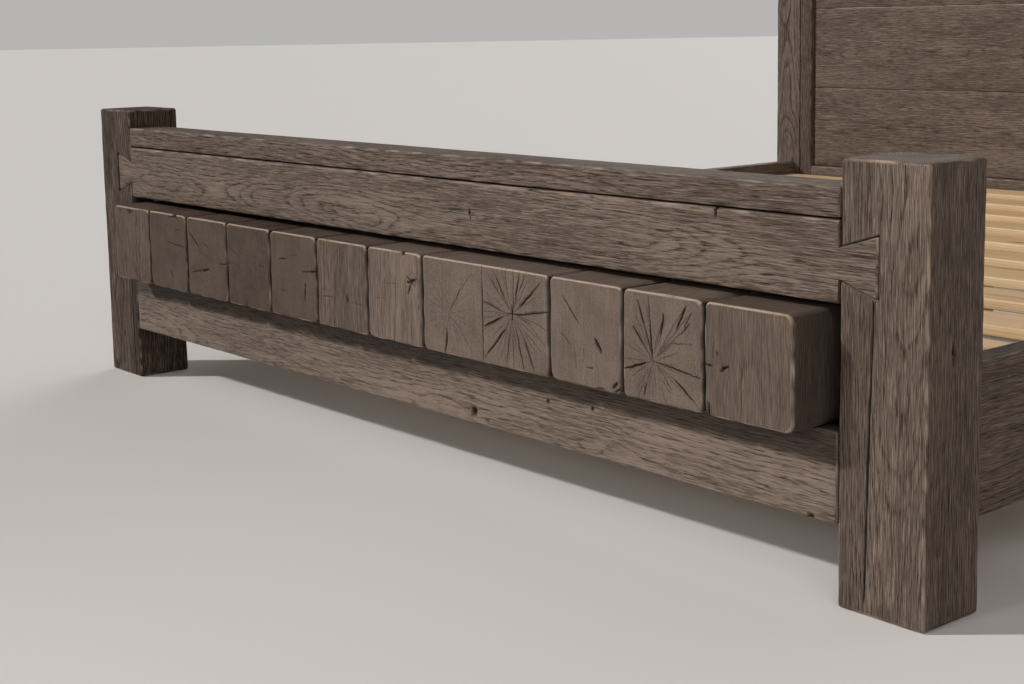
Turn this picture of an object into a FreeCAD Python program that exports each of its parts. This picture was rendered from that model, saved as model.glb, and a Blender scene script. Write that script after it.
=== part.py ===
"""Timber bed frame: footboard with a row of protruding timber ends, headboard, side rails and slat deck.

Row frame: X across the bed, Y from the foot (-) to the head (+), Z up, millimetres.
Origin: on the floor, at the middle of the frame's length and width.
"""
import FreeCAD, Part
import Sketcher
import os
import re

doc = FreeCAD.newDocument("TimberBedFrame")
sizes = doc.addObject("Spreadsheet::Sheet", "sizes")

# Driving dimensions, in millimetres. Each is set by itself.
drivingSizes = [
    # what the frame is built round
    ("mattressWidth", 1930), ("mattressLength", 2030), ("mattressPlay", 15), ("mattressEndPlay", 10),
    # posts
    ("postWidth", 130), ("postDepth", 112), ("railInset", 60), ("footHeight", 560), ("headHeight", 1380),
    ("postEase", 4),
    # rows shared by footboard and headboard
    ("capDrop", 36), ("capHeight", 38), ("plankHeight", 105), ("plankThick", 45),
    ("boardThick", 30), ("boardEase", 3), ("railBottom", 104), ("shoulderGap", 1.5),
    # dovetails of the upper planks
    ("tailLength", 57), ("neckHeight", 40), ("tailHeight", 77), ("tailRise", 50), ("tailClear", 1.2),
    # tenons
    ("tenonLength", 30), ("tenonThick", 20), ("tenonShoulder", 8), ("tenonClear", 1),
    # row of timber ends
    ("blockCount", 12), ("blockProud", 55), ("blockTopGap", 9), ("blockHigh", 149), ("blockEndGap", 24),
    ("blockJoint", 0.6), ("blockEase", 8),
    # headboard panel
    ("panelCount", 4), ("panelInset", 12), ("headRailHigh", 190),
    # side rails, slats and their cleats
    ("sideRailThick", 38), ("sideRailHigh", 200), ("deckDrop", 34), ("slatThick", 18), ("slatWidth", 100),
    ("slatCount", 11), ("slatPlay", 5), ("slatEndGap", 20), ("cleatWide", 25), ("cleatHigh", 38),
    ("cleatEndGap", 10),
    # centre support
    ("centreRailWide", 45), ("centreRailHigh", 95), ("legCount", 3), ("legWide", 55), ("legEase", 3),
    ("footRadius", 20), ("footThick", 7), ("footBevel", 2), ("stemBevel", 1), ("collarRadius", 9),
    ("collarThick", 7), ("footGap", 0.3), ("stemRadius", 4.93), ("stemLength", 46), ("stemRoom", 4),
    ("insertBore", 5), ("insertRadius", 7), ("insertLength", 20),
    # steel plates and brackets
    ("plateThick", 3), ("plateWide", 26), ("plateHigh", 140), ("plateRise", 30), ("hookHigh", 20),
    ("hookThick", 3), ("hookReach", 9), ("hookLip", 8), ("slotPlay", 1), ("slotHigh", 32), ("hookPitch", 70),
    ("hookRoom", 3), ("bracketDeep", 40), ("bracketHigh", 60), ("bracketWing", 24), ("bracketPlay", 1),
    # screws
    ("screwRadius", 2.2), ("screwHead", 4.4), ("screwHeadHigh", 3), ("blockScrewLength", 70),
    ("blockScrewPitch", 66), ("cleatScrewLength", 45), ("slatScrewLength", 45), ("plateScrewLength", 32),
    ("plateScrewInset", 9), ("bracketScrewLength", 25), ("bracketScrewInset", 14), ("hangerRadius", 4),
    ("hangerLength", 70),
]
for row, (alias, number) in enumerate(drivingSizes, start=1):
    sizes.set(f"A{row}", alias)
    sizes.set(f"B{row}", str(number))
    sizes.setAlias(f"B{row}", alias)
doc.recompute()


def bind(text):
    """Names the sheet in front of each of its aliases, all of which hold a capital letter."""
    return re.sub(r"\b[a-z]+[A-Z]\w*", lambda found: "sizes." + found.group(0), text)


def amount(text):
    """The number that a formula on the sheet's aliases comes to."""
    return float(sizes.evalExpression(bind(text)))


def count(alias):
    return int(round(amount(alias)))


# Formulas that several pieces share, all worked out from the driving dimensions.
wellLength = "(mattressLength + 2 * mattressEndPlay)"
wellHalf = "(mattressWidth / 2 + mattressPlay)"
innerSpan = f"(2 * {wellHalf} - 2 * railInset)"
overallLength = f"(blockProud + 2 * postDepth + {wellLength})"
footFront = f"(blockProud - {overallLength} / 2)"
footBack = f"({footFront} + postDepth)"
headFront = f"({footBack} + {wellLength})"
blockPitch = f"(({innerSpan} - 2 * blockEndGap) / blockCount)"
blockDeep = "(blockProud + plankThick)"
backBoardFace = "(plankThick + boardThick)"
sideRailTop = "(railBottom + sideRailHigh)"
deckTop = f"({sideRailTop} - deckDrop)"
deckUnder = f"({deckTop} - slatThick)"
centreRailUnder = f"({deckUnder} - centreRailHigh)"
legUnder = "(footThick + collarThick + footGap)"
plateFoot = "(railBottom + plateRise)"


def rows(height):
    """Heights of the rows that a post of that height holds, as bottom and top formulas."""
    capTop = f"({height} - capDrop)"
    capUnder = f"({capTop} - capHeight)"
    plankUnder = f"({capUnder} - plankHeight)"
    return {"cap": (capUnder, capTop), "plank": (plankUnder, capUnder)}


footRows = rows("footHeight")
headRows = rows("headHeight")
blockTop = f"({footRows['plank'][0]} - blockTopGap)"
blockUnder = f"({blockTop} - blockHigh)"
footRows["rail"] = ("railBottom", blockUnder)
footRows["backing"] = ("railBottom", footRows["plank"][1])
headRows["rail"] = ("railBottom", "(railBottom + headRailHigh)")
panelHigh = f"(({headRows['plank'][0]} - {headRows['rail'][1]}) / panelCount)"
for number in range(count("panelCount")):
    low = f"({headRows['rail'][1]} + {number} * {panelHigh})"
    headRows[f"panel{number + 1}"] = (low, f"({low} + {panelHigh})")


def startBody(label, place):
    body = doc.addObject("PartDesign::Body", label)
    body.Label = label
    for axis, text in zip("xyz", place):
        body.setExpression(f"Placement.Base.{axis}", bind(text))
    return body


def attach(sketch, body, role, offset):
    plane = next(item for item in body.Origin.OriginFeatures if item.Role == role)
    sketch.AttachmentSupport = [(plane, "")]
    sketch.MapMode = "FlatFace"
    if offset:
        sketch.setExpression("AttachmentOffset.Base.z", bind(offset))


def pin(sketch, geometry, point, place):
    """Ties a point to the sketch's origin by two bound distances."""
    for kind, text in zip(("DistanceX", "DistanceY"), place):
        index = sketch.addConstraint(Sketcher.Constraint(kind, -1, 1, geometry, point, amount(text)))
        sketch.setExpression(f"Constraints[{index}]", bind(text))


def outlineSketch(body, role, corners, offset=None):
    sketch = body.newObject("Sketcher::SketchObject", body.Label + "_outline")
    attach(sketch, body, role, offset)
    places = [FreeCAD.Vector(amount(across), amount(up), 0) for across, up in corners]
    last = len(corners)
    for index in range(last):
        sketch.addGeometry(Part.LineSegment(places[index], places[(index + 1) % last]), False)
    for index in range(last):
        sketch.addConstraint(Sketcher.Constraint("Coincident", index, 2, (index + 1) % last, 1))
        pin(sketch, index, 1, corners[index])
    return sketch


def boxCorners(x0, x1, y0, y1):
    return [(x0, y0), (x1, y0), (x1, y1), (x0, y1)]


def pad(body, sketch, length, reverse=False):
    feature = body.newObject("PartDesign::Pad", body.Label + "_pad")
    feature.Profile = sketch
    feature.setExpression("Length", bind(length))
    feature.Reversed = reverse
    doc.recompute()
    return feature


def pocket(body, sketch, depth, reverse=False):
    before = body.Tip.Shape.Volume
    feature = body.newObject("PartDesign::Pocket", body.Label + "_pocket")
    feature.Profile = sketch
    feature.setExpression("Length", bind(depth))
    feature.Reversed = reverse
    doc.recompute()
    if feature.Shape.Volume >= before:
        raise RuntimeError(f"{body.Label}: a pocket cut nothing")
    return feature


def ease(body, radius, wanted, kind="Fillet"):
    """Rounds or bevels the edges of the body's last feature that the test wants."""
    base = body.Tip
    names = [f"Edge{index}" for index, edge in enumerate(base.Shape.Edges, start=1) if wanted(edge.BoundBox)]
    feature = body.newObject("PartDesign::" + kind, body.Label + "_ease")
    feature.Base = (base, names)
    feature.setExpression("Radius" if kind == "Fillet" else "Size", bind(radius))
    doc.recompute()
    return feature


def everyEdge(box):
    return True


def frontEdge(box):
    return box.YMax < 0.01


def lengthwiseEdge(box):
    return box.XLength > 10 and box.YLength < 0.01 and box.ZLength < 0.01


def drilled(label, blank, *fasteners):
    """The piece with a hole wherever a fastener passes through it."""
    blank.Label = label + "_blank"
    body = blank
    for number, tool in enumerate(fasteners):
        cut = doc.addObject("Part::Cut", f"{label}_drilled_{number}")
        cut.Base = body
        cut.Tool = tool
        body = cut
    body.Label = label
    return body


def group(label, solids):
    """Identical small pieces as separate solids in one node."""
    feature = doc.addObject("Part::Feature", label)
    feature.Shape = Part.makeCompound(solids)
    feature.Label = label
    return feature


# Fasteners

def screw(tip, direction, length):
    """Countersunk screw whose flat head lies at tip and whose point runs along direction."""
    way = FreeCAD.Vector(*direction)
    place = FreeCAD.Vector(*tip)
    headHigh = amount("screwHeadHigh")
    head = Part.makeCone(amount("screwHead"), amount("screwRadius"), headHigh, place, way)
    shank = Part.makeCylinder(amount("screwRadius"), length - headHigh, place + way * headHigh, way)
    return head.fuse(shank).removeSplitter()


def blockScrews():
    """Two screws into each timber end, from behind the backing board."""
    solids = []
    behind = amount(f"{footFront} + {backBoardFace}")
    for number in range(count("blockCount")):
        middle = amount(f"-{innerSpan} / 2 + blockEndGap + ({number} + 0.5) * {blockPitch}")
        for side in (-1, 1):
            level = amount(f"{blockUnder} + blockHigh / 2 + {side} * blockScrewPitch / 2")
            solids.append(screw((middle, behind, level), (0, -1, 0), amount("blockScrewLength")))
    return group("block_screws", solids)


def slatMiddle(number):
    step = f"({wellLength} - 2 * slatEndGap - slatWidth) / (slatCount - 1)"
    return f"({footBack} + slatEndGap + slatWidth / 2 + {number} * {step})"


def cleatScrews():
    """A row of screws that holds each cleat to the inside of its side rail, one in each gap between slats."""
    solids = []
    level = amount(f"{deckUnder} - cleatHigh / 2")
    face = amount(f"{wellHalf} - cleatWide")
    for index in range(count("slatCount") - 1):
        along = amount(f"({slatMiddle(index)} + {slatMiddle(index + 1)}) / 2")
        for side in (-1, 1):
            solids.append(screw((side * face, along, level), (side, 0, 0), amount("cleatScrewLength")))
    return group("cleat_screws", solids)


def slatScrews():
    """One screw down through each end of each slat into the cleats."""
    solids = []
    across = amount(f"{wellHalf} - cleatWide / 2")
    for number in range(count("slatCount")):
        for side in (-1, 1):
            place = (side * across, amount(slatMiddle(number)), amount(deckTop))
            solids.append(screw(place, (0, 0, -1), amount("slatScrewLength")))
    return group("slat_screws", solids)


def plateScrews():
    """Three screws through each steel plate, into the rail's end on one side and the post on the other."""
    solids = []
    middle = amount(f"{wellHalf} + sideRailThick / 2")
    low, high = amount(plateFoot), amount(f"{plateFoot} + plateHigh")
    inset = amount("plateScrewInset")
    levels = (low + inset, (low + high) / 2, high - inset)
    ends = ((amount(footBack), 1), (amount(headFront), -1))
    thick, length = amount("plateThick"), amount("plateScrewLength")
    for side in (-1, 1):
        for joint, inward in ends:
            for level in levels:
                solids.append(screw((side * middle, joint, level), (0, inward, 0), length))
                solids.append(screw((side * middle, joint, level), (0, -inward, 0), length))
    return group("plate_screws", solids)


def bracketScrews():
    """Four screws through the wings of each bracket that carries the centre rail."""
    solids = []
    across = amount("centreRailWide / 2 + bracketPlay / 2 + plateThick + bracketWing / 2")
    under = amount(f"{centreRailUnder} - plateThick")
    inset, length = amount("bracketScrewInset"), amount("bracketScrewLength")
    footFace = amount(f"{footFront} + {backBoardFace} + plateThick")
    headFace = amount(f"{headFront} - plateThick")
    for face, way in ((footFace, -1), (headFace, 1)):
        for side in (-1, 1):
            for level in (under + inset, under + amount("bracketHigh") - inset):
                solids.append(screw((side * across, face, level), (0, way, 0), length))
    return group("bracket_screws", solids)


def legPlace(number):
    return f"({footBack} + ({number} + 1) * {wellLength} / (legCount + 1))"


def hangerBolts():
    """A plain double-ended bolt that joins each leg to the centre rail."""
    solids = []
    for number in range(count("legCount")):
        low = amount(f"{centreRailUnder} - hangerLength / 2")
        place = FreeCAD.Vector(0, amount(legPlace(number)), low)
        solids.append(Part.makeCylinder(amount("hangerRadius"), amount("hangerLength"), place))
    return group("leg_hanger_bolts", solids)


# Rail plates and brackets

def brick(x0, x1, y0, y1, z0, z1):
    return Part.makeBox(x1 - x0, y1 - y0, z1 - z0, FreeCAD.Vector(x0, y0, z0))


def hookLevels():
    """Bottom of each hook's neck, which rests on the bottom of its slot."""
    middle = amount(f"{plateFoot} + plateHigh / 2")
    return [middle + side * amount("hookPitch") / 2 - amount("hookHigh") / 2 for side in (-1, 1)]


def atFourCorners(shape):
    """Copies of a shape made for the right rail's foot end, at both ends of both rails."""
    middle = FreeCAD.Vector(0, amount(f"({footBack} + {headFront}) / 2"), 0)
    mirroredX = shape.mirror(FreeCAD.Vector(0, 0, 0), FreeCAD.Vector(1, 0, 0))
    both = [shape, mirroredX]
    return both + [item.mirror(middle, FreeCAD.Vector(0, 1, 0)) for item in both]


def railHookPlates(screws):
    middle, joint = amount(f"{wellHalf} + sideRailThick / 2"), amount(footBack)
    wide, thick, hook = amount("plateWide"), amount("plateThick"), amount("hookThick")
    plate = brick(middle - wide / 2, middle + wide / 2, joint, joint + thick,
                  amount(plateFoot), amount(f"{plateFoot} + plateHigh"))
    play = amount("slotPlay")
    for low in hookLevels():
        near, top = joint - thick - play, low + amount("hookHigh")
        neck = brick(middle - hook / 2, middle + hook / 2, near, joint, low, top)
        lip = brick(middle - hook / 2, middle + hook / 2, near - amount("hookReach"), near,
                    low - amount("hookLip"), top)
        plate = plate.fuse(neck).fuse(lip)
    blanks = atFourCorners(plate.removeSplitter())
    return drilled("rail_hook_plates", group("rail_hook_plates", blanks), screws)


def postCatchPlates(screws):
    middle, joint = amount(f"{wellHalf} + sideRailThick / 2"), amount(footBack)
    wide, thick, half = amount("plateWide"), amount("plateThick"), amount("hookThick / 2 + slotPlay")
    plate = brick(middle - wide / 2, middle + wide / 2, joint - thick, joint,
                  amount(plateFoot), amount(f"{plateFoot} + plateHigh"))
    for low in hookLevels():
        top = low + amount("slotHigh")
        plate = plate.cut(brick(middle - half, middle + half, joint - thick, joint, low, top))
    return drilled("post_catch_plates", group("post_catch_plates", atFourCorners(plate)), screws)


def centreRailBrackets(screws):
    """A steel cradle at each end of the centre rail: a winged back plate, two cheeks and a seat."""
    thick, deep, high = amount("plateThick"), amount("bracketDeep"), amount("bracketHigh")
    half = amount("centreRailWide / 2 + bracketPlay / 2")
    wing = half + thick + amount("bracketWing")
    seat = amount(centreRailUnder)
    low = seat - thick
    face = amount(f"{footFront} + {backBoardFace}")
    cradle = brick(-wing, wing, face, face + thick, low, low + high)
    cradle = cradle.fuse(brick(-half - thick, half + thick, face, face + deep, low, seat))
    for side in (-1, 1):
        inner, outer = sorted((side * half, side * (half + thick)))
        cradle = cradle.fuse(brick(inner, outer, face, face + deep, low, low + high))
    cradle = cradle.removeSplitter()
    middle = FreeCAD.Vector(0, amount(f"({footFront} + {backBoardFace} + {headFront}) / 2"), 0)
    other = cradle.mirror(middle, FreeCAD.Vector(0, 1, 0))
    return drilled("centre_rail_brackets", group("centre_rail_brackets", [cradle, other]), screws)


# Posts

def makePost(label, side, front, height, rowHeights, mortises, railFace, fasteners):
    """A square-topped post with a dovetail socket in its front face and mortises in its inner face."""
    left = side < 0
    start = f"-{innerSpan} / 2 - postWidth" if left else f"{innerSpan} / 2"
    body = startBody(label, (start, front, "0"))
    pad(body, outlineSketch(body, "XY_Plane", boxCorners("0", "postWidth", "0", "postDepth")), height)
    ease(body, "postEase", everyEdge)

    def across(text):
        return f"postWidth - ({text})" if left else text

    under = rowHeights["plank"][0]
    middle = f"({under} + tailRise)"
    tip = across("tailLength + tailClear")
    mouth = across("0")
    neck, end = "(neckHeight / 2 + tailClear)", "(tailHeight / 2 + tailClear)"
    socket = [(mouth, f"{middle} - {neck}"), (tip, f"{middle} - {end}"),
              (tip, f"{middle} + {end}"), (mouth, f"{middle} + {neck}")]
    pocket(body, outlineSketch(body, "XZ_Plane", socket), "plankThick")
    low, high = amount(f"{middle} - {end}"), amount(f"{middle} + {end}")
    inner, deep = amount(mouth), amount(tip)
    shortest = amount("(tailHeight - neckHeight) / 4")

    def socketEdge(box):
        inside = low - 1 < box.ZMin and box.ZMax < high + 1
        reach = min(inner, deep) - 0.01 < box.XMin and box.XMax < max(inner, deep) + 0.01
        return frontEdge(box) and inside and reach and box.ZLength > shortest

    ease(body, "boardEase", socketEdge, "Chamfer")
    offset = "postWidth" if left else None
    for near, thick, (bottom, top) in mortises:
        corners = boxCorners(near, f"{near} + {thick}", f"{bottom} + tenonShoulder", f"{top} - tenonShoulder")
        pocket(body, outlineSketch(body, "YZ_Plane", corners, offset), "tenonLength + tenonClear", not left)

    # recess for the steel catch plate, and the hollow behind it that the hooks drop into
    plateMiddle = f"({wellHalf} + sideRailThick / 2 - {innerSpan} / 2)"
    plateX = across(plateMiddle)
    half = "plateWide / 2"
    facing = "-postDepth" if railFace > 0 else None
    corners = boxCorners(f"{plateX} - {half}", f"{plateX} + {half}", plateFoot, f"{plateFoot} + plateHigh")
    pocket(body, outlineSketch(body, "XZ_Plane", corners, facing), "plateThick", railFace > 0)
    hollow = "(hookThick / 2 + hookRoom)"
    corners = boxCorners(f"{plateX} - {hollow}", f"{plateX} + {hollow}",
                         f"{plateFoot} + plateHigh / 2 - hookPitch / 2 - hookHigh / 2 - hookLip - hookRoom",
                         f"{plateFoot} + plateHigh / 2 + hookPitch / 2 - hookHigh / 2 + slotHigh")
    depth = "plateThick + slotPlay + hookReach + hookRoom"
    pocket(body, outlineSketch(body, "XZ_Plane", corners, facing), depth, railFace > 0)
    return drilled(label, body, *fasteners)


# Boards

def makeBoard(label, front, deep, rowHeight, tenonNear, wanted=lengthwiseEdge, fasteners=()):
    """A board between two posts, with a tenon at each end."""
    bottom, top = rowHeight
    body = startBody(label, (f"-{innerSpan} / 2", front, bottom))
    high = f"{top} - {bottom}"
    pad(body, outlineSketch(body, "YZ_Plane", boxCorners("0", deep, "0", high)), innerSpan)
    if wanted:
        ease(body, "boardEase", wanted)
    corners = boxCorners(tenonNear, f"{tenonNear} + tenonThick", "tenonShoulder", f"{high} - tenonShoulder")
    pad(body, outlineSketch(body, "YZ_Plane", corners), "tenonLength", True)
    pad(body, outlineSketch(body, "YZ_Plane", corners, innerSpan), "tenonLength")
    return drilled(label, body, *fasteners)


def makeDovetailPlank(label, front, rowHeight):
    """The wide upper plank, with a dovetail at each end that is let into the face of its post."""
    bottom, top = rowHeight
    body = startBody(label, (f"-{innerSpan} / 2 - tailLength", front, bottom))
    a, b = "(tailLength + shoulderGap)", f"(tailLength + {innerSpan} - shoulderGap)"
    end = f"({innerSpan} + 2 * tailLength)"
    neckLow, neckHigh = "tailRise - neckHeight / 2", "tailRise + neckHeight / 2"
    tailLow, tailHigh = "tailRise - tailHeight / 2", "tailRise + tailHeight / 2"
    corners = [(a, "0"), (b, "0"), (b, neckLow), (end, tailLow), (end, tailHigh), (b, neckHigh),
               (b, "plankHeight"), (a, "plankHeight"), (a, neckHigh), ("0", tailHigh), ("0", tailLow),
               (a, neckLow)]
    pad(body, outlineSketch(body, "XZ_Plane", corners), "plankThick", True)
    ease(body, "boardEase", frontEdge, "Chamfer")
    return body


def makeBlock(number, screws):
    """One squared timber end. The eighth and ninth meet with square edges, as one wide pair."""
    place = f"-{innerSpan} / 2 + blockEndGap + {number - 1} * {blockPitch} + blockJoint / 2"
    label = f"timber_block_{number:02d}"
    body = startBody(label, (place, f"{footFront} - blockProud", blockUnder))
    wide = f"({blockPitch} - blockJoint)"
    pad(body, outlineSketch(body, "XZ_Plane", boxCorners("0", wide, "0", "blockHigh")), blockDeep, True)
    full = amount(wide)
    squareSide = {8: full, 9: 0.0}.get(number)

    def wanted(box):
        back = box.YMin > 1
        crossing = squareSide is not None and box.XLength < 0.01 and abs(box.XMin - squareSide) < 0.01
        upright = box.ZLength > 10
        return not back and not (crossing and upright)

    ease(body, "blockEase", wanted)
    return drilled(label, body, screws)


# Side rails, slats and centre support

def makeSideRail(label, side, fasteners):
    inner = wellHalf if side > 0 else f"-{wellHalf} - sideRailThick"
    body = startBody(label, (inner, footBack, "railBottom"))
    high = "sideRailHigh"
    pad(body, outlineSketch(body, "XZ_Plane", boxCorners("0", "sideRailThick", "0", high)), wellLength, True)
    ease(body, "boardEase", lambda box: box.YLength > 10)
    middle, half = "sideRailThick / 2", "plateWide / 2"
    corners = boxCorners(f"{middle} - {half}", f"{middle} + {half}", "plateRise", "plateRise + plateHigh")
    pocket(body, outlineSketch(body, "XZ_Plane", corners), "plateThick")
    pocket(body, outlineSketch(body, "XZ_Plane", corners, f"-{wellLength}"), "plateThick", True)
    return drilled(label, body, *fasteners)


def makeCleat(label, side, fasteners):
    inner = f"{wellHalf} - cleatWide" if side > 0 else f"-{wellHalf}"
    body = startBody(label, (inner, f"{footBack} + cleatEndGap", f"{deckUnder} - cleatHigh"))
    length = f"{wellLength} - 2 * cleatEndGap"
    pad(body, outlineSketch(body, "XZ_Plane", boxCorners("0", "cleatWide", "0", "cleatHigh")), length, True)
    return drilled(label, body, *fasteners)


def makeSlat(number, screws):
    label = f"slat_{number + 1:02d}"
    body = startBody(label, (f"slatPlay - {wellHalf}", f"{slatMiddle(number)} - slatWidth / 2", deckUnder))
    pad(body, outlineSketch(body, "YZ_Plane", boxCorners("0", "slatWidth", "0", "slatThick")),
        f"2 * {wellHalf} - 2 * slatPlay")
    ease(body, "boardEase", lengthwiseEdge)
    return drilled(label, body, screws)


def makeCentreRail(fasteners):
    start = f"{footFront} + {backBoardFace} + plateThick"
    body = startBody("centre_rail", ("-centreRailWide / 2", start, centreRailUnder))
    length = f"{headFront} - plateThick - ({start})"
    corners = boxCorners("0", "centreRailWide", "0", "centreRailHigh")
    pad(body, outlineSketch(body, "XZ_Plane", corners), length, True)
    ease(body, "boardEase", lambda box: box.YLength > 10)
    return drilled("centre_rail", body, *fasteners)


def circleSketch(body, role, centre, radius, offset=None):
    sketch = body.newObject("Sketcher::SketchObject", body.Label + "_circle")
    attach(sketch, body, role, offset)
    place = FreeCAD.Vector(amount(centre[0]), amount(centre[1]), 0)
    sketch.addGeometry(Part.Circle(place, FreeCAD.Vector(0, 0, 1), amount(radius)), False)
    pin(sketch, 0, 3, centre)
    index = sketch.addConstraint(Sketcher.Constraint("Radius", 0, amount(radius)))
    sketch.setExpression(f"Constraints[{index}]", bind(radius))
    return sketch


def makeLeg(label, number, fasteners):
    body = startBody(label, ("-legWide / 2", f"{legPlace(number)} - legWide / 2", legUnder))
    pad(body, outlineSketch(body, "XY_Plane", boxCorners("0", "legWide", "0", "legWide")),
        f"{centreRailUnder} - {legUnder}")
    ease(body, "legEase", lambda box: box.ZLength > 10)
    centre = ("legWide / 2", "legWide / 2")
    pocket(body, circleSketch(body, "XY_Plane", centre, "insertRadius"), "insertLength", True)
    pocket(body, circleSketch(body, "XY_Plane", centre, "insertBore"), "stemLength + stemRoom", True)
    return drilled(label, body, *fasteners)


def legInserts():
    """Threaded sleeves in the undersides of the legs, drawn at their bore."""
    solids = []
    for number in range(count("legCount")):
        place = FreeCAD.Vector(0, amount(legPlace(number)), amount(legUnder))
        sleeve = Part.makeCylinder(amount("insertRadius"), amount("insertLength"), place)
        solids.append(sleeve.cut(Part.makeCylinder(amount("insertBore"), amount("insertLength"), place)))
    return group("leg_threaded_inserts", solids)


def revolve(body, corners):
    """A turned piece: its half outline on the XZ plane, once round the vertical axis."""
    sketch = outlineSketch(body, "XZ_Plane", corners)
    feature = body.newObject("PartDesign::Revolution", body.Label + "_turned")
    feature.Profile = sketch
    feature.ReferenceAxis = (sketch, ["V_Axis"])
    feature.Angle = 360
    doc.recompute()
    return feature


def makeFoot(label, number):
    """Screw-in levelling foot: a round pad, a collar that the leg stands on, and a plain stem."""
    body = startBody(label, ("0", legPlace(number), "0"))
    top = "(footThick + collarThick)"
    tip = f"{top} + stemLength"
    revolve(body, [("0", "0"), ("footRadius - footBevel", "0"), ("footRadius", "footBevel"),
                   ("footRadius", "footThick - footBevel"), ("collarRadius + footBevel", "footThick"),
                   ("collarRadius", "footThick"), ("collarRadius", top), ("stemRadius", top),
                   ("stemRadius", f"{tip} - stemBevel"), ("stemRadius - stemBevel", tip), ("0", tip)])
    return body


# Assembly

screwsForBlocks = blockScrews()
screwsForCleats = cleatScrews()
screwsForSlats = slatScrews()
screwsForPlates = plateScrews()
screwsForBrackets = bracketScrews()
boltsForLegs = hangerBolts()
insertsForLegs = legInserts()
nodes = [screwsForBlocks, screwsForCleats, screwsForSlats, screwsForPlates, screwsForBrackets, boltsForLegs,
         insertsForLegs]

# how far behind the front face each tenon starts
plankTenon = "((plankThick - tenonThick) / 2)"
backingTenon = "(plankThick + (boardThick - tenonThick) / 2)"
panelTenon = "(panelInset + (boardThick - tenonThick) / 2)"

footMortises = [(plankTenon, "tenonThick", footRows["cap"]), (plankTenon, "tenonThick", footRows["rail"]),
                (backingTenon, "tenonThick", footRows["backing"])]
headMortises = [(plankTenon, "tenonThick", headRows["cap"]), (plankTenon, "tenonThick", headRows["rail"])]
for number in range(1, count("panelCount") + 1):
    headMortises.append((panelTenon, "tenonThick", headRows[f"panel{number}"]))

for side, word in ((-1, "left"), (1, "right")):
    nodes.append(makePost(f"footboard_post_{word}", side, footFront, "footHeight", footRows,
                          footMortises, 1, [screwsForPlates]))
    nodes.append(makePost(f"headboard_post_{word}", side, headFront, "headHeight", headRows,
                          headMortises, -1, [screwsForPlates]))
    nodes.append(makeSideRail(f"side_rail_{word}", side, [screwsForCleats, screwsForPlates]))
    nodes.append(makeCleat(f"slat_cleat_{word}", side, [screwsForCleats, screwsForSlats]))

nodes.append(makeBoard("footboard_cap_rail", footFront, backBoardFace, footRows["cap"], plankTenon))
nodes.append(makeDovetailPlank("footboard_dovetail_plank", footFront, footRows["plank"]))
nodes.append(makeBoard("footboard_bottom_rail", footFront, "plankThick", footRows["rail"], plankTenon))
nodes.append(makeBoard("footboard_backing_board", f"{footFront} + plankThick", "boardThick",
                       footRows["backing"], "((boardThick - tenonThick) / 2)", None,
                       [screwsForBlocks, screwsForBrackets]))
for number in range(1, count("blockCount") + 1):
    nodes.append(makeBlock(number, screwsForBlocks))

nodes.append(makeBoard("headboard_cap_rail", headFront, backBoardFace, headRows["cap"], plankTenon))
nodes.append(makeDovetailPlank("headboard_dovetail_plank", headFront, headRows["plank"]))
nodes.append(makeBoard("headboard_bottom_rail", headFront, "plankThick", headRows["rail"], plankTenon,
                       lengthwiseEdge, [screwsForBrackets]))
for number in range(1, count("panelCount") + 1):
    nodes.append(makeBoard(f"headboard_panel_board_{number}", f"{headFront} + panelInset", "boardThick",
                           headRows[f"panel{number}"], "((boardThick - tenonThick) / 2)"))

nodes.append(railHookPlates(screwsForPlates))
nodes.append(postCatchPlates(screwsForPlates))
nodes.append(centreRailBrackets(screwsForBrackets))
nodes.append(makeCentreRail([boltsForLegs]))
for number, word in enumerate(("foot", "middle", "head")):
    nodes.append(makeLeg(f"centre_leg_{word}", number, [boltsForLegs]))
    nodes.append(makeFoot(f"levelling_foot_{word}", number))
for number in range(count("slatCount")):
    nodes.append(makeSlat(number, screwsForSlats))

doc.recompute()
for item in doc.Objects:
    if "Invalid" in item.State or "Error" in item.State:
        raise RuntimeError(f"{item.Label} did not recompute: {item.State}")
for node in nodes:
    if node.Shape.isNull() or not node.Shape.isValid() or not node.Shape.Solids:
        raise RuntimeError(f"{node.Label} has no valid solid")

os.makedirs("parts", exist_ok=True)
for node in nodes:
    node.Shape.exportStep(os.path.join("parts", node.Label + ".step"))
    box = node.Shape.BoundBox
    span = f"{box.XLength:.1f} x {box.YLength:.1f} x {box.ZLength:.1f}"
    print(f"{node.Label}: {len(node.Shape.Solids)} solid(s), {span}")
print(f"{len(nodes)} nodes, {len({node.Label for node in nodes})} names")
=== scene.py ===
import math
import random

import bmesh
import bpy
import numpy as np
from mathutils import Matrix, Vector


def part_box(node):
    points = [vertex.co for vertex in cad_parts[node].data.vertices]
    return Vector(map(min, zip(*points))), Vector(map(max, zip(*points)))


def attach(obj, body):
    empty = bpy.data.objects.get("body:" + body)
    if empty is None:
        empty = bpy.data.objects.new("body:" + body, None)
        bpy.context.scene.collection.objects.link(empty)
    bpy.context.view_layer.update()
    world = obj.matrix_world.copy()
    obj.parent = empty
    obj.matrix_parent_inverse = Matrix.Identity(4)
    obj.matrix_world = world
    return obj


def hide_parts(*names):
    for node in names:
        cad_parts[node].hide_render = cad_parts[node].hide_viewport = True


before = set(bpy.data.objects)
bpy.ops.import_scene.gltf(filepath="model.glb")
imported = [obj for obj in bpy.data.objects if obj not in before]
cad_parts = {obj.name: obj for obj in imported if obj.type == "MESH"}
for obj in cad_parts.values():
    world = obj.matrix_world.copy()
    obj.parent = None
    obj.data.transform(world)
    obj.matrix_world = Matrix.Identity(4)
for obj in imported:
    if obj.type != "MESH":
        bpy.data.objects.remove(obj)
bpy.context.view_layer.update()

scene = bpy.context.scene
mm = 0.001


# a socket that adds its own Math nodes when it is used in an expression

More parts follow.
